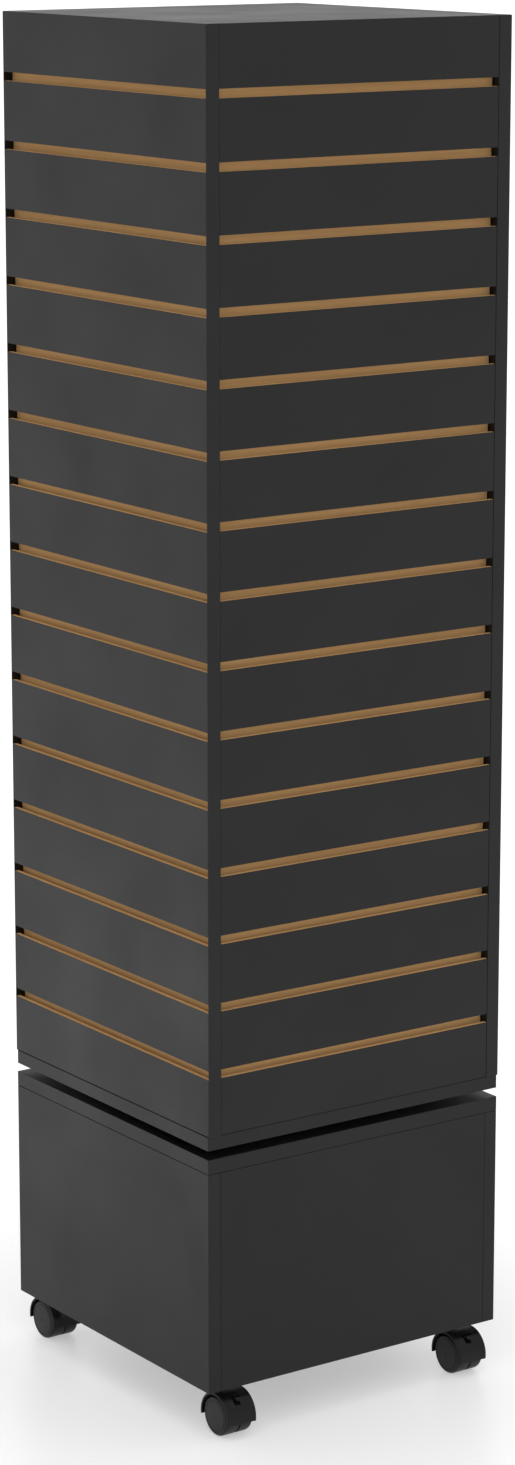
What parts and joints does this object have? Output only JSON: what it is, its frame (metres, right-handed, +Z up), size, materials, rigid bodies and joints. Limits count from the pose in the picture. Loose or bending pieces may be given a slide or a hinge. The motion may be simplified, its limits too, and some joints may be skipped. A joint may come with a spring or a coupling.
{
  "type": "slatwall tower display stand",
  "caption": "Square four-sided slatwall tower that turns on a ball-bearing turntable over a closed base cabinet with hooded twin-wheel swivel casters.",
  "frame": {"origin": "on the floor under the middle of the base, at the centre of the square that the turntable's axis meets", "axes": "+Z up along the turntable's axis, front of the base and tower towards -Y, +X to the right seen from the front"},
  "size_m": [0.4046, 0.4232, 1.5705],
  "materials": {
    "slatwall_board": "satin black melamine on MDF, raw tan MDF inside the grooves",
    "black_board": "satin black melamine on MDF",
    "edge_band": "thin black edge banding",
    "top_sheet": "satin black laminate sheet",
    "batten": "planed softwood",
    "zinc_steel": "bright zinc plate",
    "ball_retainer": "off-white nylon with steel balls",
    "hood_nylon": "fine-grained black nylon",
    "wheel_nylon": "smooth black nylon"
  },
  "bodies": {
    "base": {"base_left_panel": "black_board", "base_right_panel": "black_board", "base_front_panel": "black_board", "base_back_panel": "black_board", "base_top_board": "black_board", "base_floor_board": "black_board", "turntable_lower_plate": "zinc_steel", "turntable_lower_screw_1": "zinc_steel", "turntable_lower_screw_2": "zinc_steel", "turntable_lower_screw_3": "zinc_steel", "turntable_lower_screw_4": "zinc_steel", "caster_front_left_plate": "zinc_steel", "caster_front_left_bearing": "zinc_steel", "caster_front_left_kingpin": "zinc_steel", "caster_front_right_plate": "zinc_steel", "caster_front_right_bearing": "zinc_steel", "caster_front_right_kingpin": "zinc_steel", "caster_back_right_plate": "zinc_steel", "caster_back_right_bearing": "zinc_steel", "caster_back_right_kingpin": "zinc_steel", "caster_back_left_plate": "zinc_steel", "caster_back_left_bearing": "zinc_steel", "caster_back_left_kingpin": "zinc_steel"},
    "tower": {"tower_left_panel": "slatwall_board", "tower_right_panel": "slatwall_board", "tower_front_panel": "slatwall_board", "tower_back_panel": "slatwall_board", "tower_left_panel_front_band": "edge_band", "tower_left_panel_back_band": "edge_band", "tower_right_panel_front_band": "edge_band", "tower_right_panel_back_band": "edge_band", "tower_top_board": "black_board", "tower_top_sheet": "top_sheet", "tower_floor_board": "black_board", "tower_front_left_cleat": "batten", "tower_front_right_cleat": "batten", "tower_back_right_cleat": "batten", "tower_back_left_cleat": "batten", "turntable_upper_plate": "zinc_steel", "turntable_upper_screw_1": "zinc_steel", "turntable_upper_screw_2": "zinc_steel", "turntable_upper_screw_3": "zinc_steel", "turntable_upper_screw_4": "zinc_steel"},
    "ball_ring": {"turntable_ball_ring": "ball_retainer"},
    "caster_front_left_fork": {"caster_front_left_hood": "hood_nylon", "caster_front_left_axle": "zinc_steel"},
    "caster_front_left_wheel_a": {"caster_front_left_wheel_a": "wheel_nylon"},
    "caster_front_left_wheel_b": {"caster_front_left_wheel_b": "wheel_nylon"},
    "caster_front_right_fork": {"caster_front_right_hood": "hood_nylon", "caster_front_right_axle": "zinc_steel"},
    "caster_front_right_wheel_a": {"caster_front_right_wheel_a": "wheel_nylon"},
    "caster_front_right_wheel_b": {"caster_front_right_wheel_b": "wheel_nylon"},
    "caster_back_right_fork": {"caster_back_right_hood": "hood_nylon", "caster_back_right_axle": "zinc_steel"},
    "caster_back_right_wheel_a": {"caster_back_right_wheel_a": "wheel_nylon"},
    "caster_back_right_wheel_b": {"caster_back_right_wheel_b": "wheel_nylon"},
    "caster_back_left_fork": {"caster_back_left_hood": "hood_nylon", "caster_back_left_axle": "zinc_steel"},
    "caster_back_left_wheel_a": {"caster_back_left_wheel_a": "wheel_nylon"},
    "caster_back_left_wheel_b": {"caster_back_left_wheel_b": "wheel_nylon"}
  },
  "joints": [
    {"name": "tower_spin", "type": "hinge", "parent": "base", "child": "tower", "pos_m": [0, 0, 0.3391], "axis": [0, 0, 1], "continuous": true},
    {"name": "ball_ring_spin", "type": "hinge", "parent": "base", "child": "ball_ring", "pos_m": [0, 0, 0.3391], "axis": [0, 0, 1], "continuous": true},
    {"name": "caster_front_left_swivel", "type": "hinge", "parent": "base", "child": "caster_front_left_fork", "pos_m": [-0.1643, -0.1626, 0.05], "axis": [0, 0, 1], "continuous": true},
    {"name": "caster_front_left_roll_a", "type": "hinge", "parent": "caster_front_left_fork", "child": "caster_front_left_wheel_a", "pos_m": [-0.1643, -0.1836, 0.023], "axis": [1, 0, 0], "continuous": true},
    {"name": "caster_front_left_roll_b", "type": "hinge", "parent": "caster_front_left_fork", "child": "caster_front_left_wheel_b", "pos_m": [-0.1643, -0.1836, 0.023], "axis": [1, 0, 0], "continuous": true},
    {"name": "caster_front_right_swivel", "type": "hinge", "parent": "base", "child": "caster_front_right_fork", "pos_m": [0.1643, -0.1626, 0.05], "axis": [0, 0, 1], "continuous": true},
    {"name": "caster_front_right_roll_a", "type": "hinge", "parent": "caster_front_right_fork", "child": "caster_front_right_wheel_a", "pos_m": [0.1643, -0.1836, 0.023], "axis": [1, 0, 0], "continuous": true},
    {"name": "caster_front_right_roll_b", "type": "hinge", "parent": "caster_front_right_fork", "child": "caster_front_right_wheel_b", "pos_m": [0.1643, -0.1836, 0.023], "axis": [1, 0, 0], "continuous": true},
    {"name": "caster_back_right_swivel", "type": "hinge", "parent": "base", "child": "caster_back_right_fork", "pos_m": [0.1643, 0.1626, 0.05], "axis": [0, 0, 1], "continuous": true},
    {"name": "caster_back_right_roll_a", "type": "hinge", "parent": "caster_back_right_fork", "child": "caster_back_right_wheel_a", "pos_m": [0.1643, 0.1836, 0.023], "axis": [1, 0, 0], "continuous": true},
    {"name": "caster_back_right_roll_b", "type": "hinge", "parent": "caster_back_right_fork", "child": "caster_back_right_wheel_b", "pos_m": [0.1643, 0.1836, 0.023], "axis": [1, 0, 0], "continuous": true},
    {"name": "caster_back_left_swivel", "type": "hinge", "parent": "base", "child": "caster_back_left_fork", "pos_m": [-0.1643, 0.1626, 0.05], "axis": [0, 0, 1], "continuous": true},
    {"name": "caster_back_left_roll_a", "type": "hinge", "parent": "caster_back_left_fork", "child": "caster_back_left_wheel_a", "pos_m": [-0.1643, 0.1836, 0.023], "axis": [1, 0, 0], "continuous": true},
    {"name": "caster_back_left_roll_b", "type": "hinge", "parent": "caster_back_left_fork", "child": "caster_back_left_wheel_b", "pos_m": [-0.1643, 0.1836, 0.023], "axis": [1, 0, 0], "continuous": true}
  ],
  "couplings": [
    {"joint": "ball_ring_spin", "follows": "tower_spin", "ratio": 0.5}
  ]
}
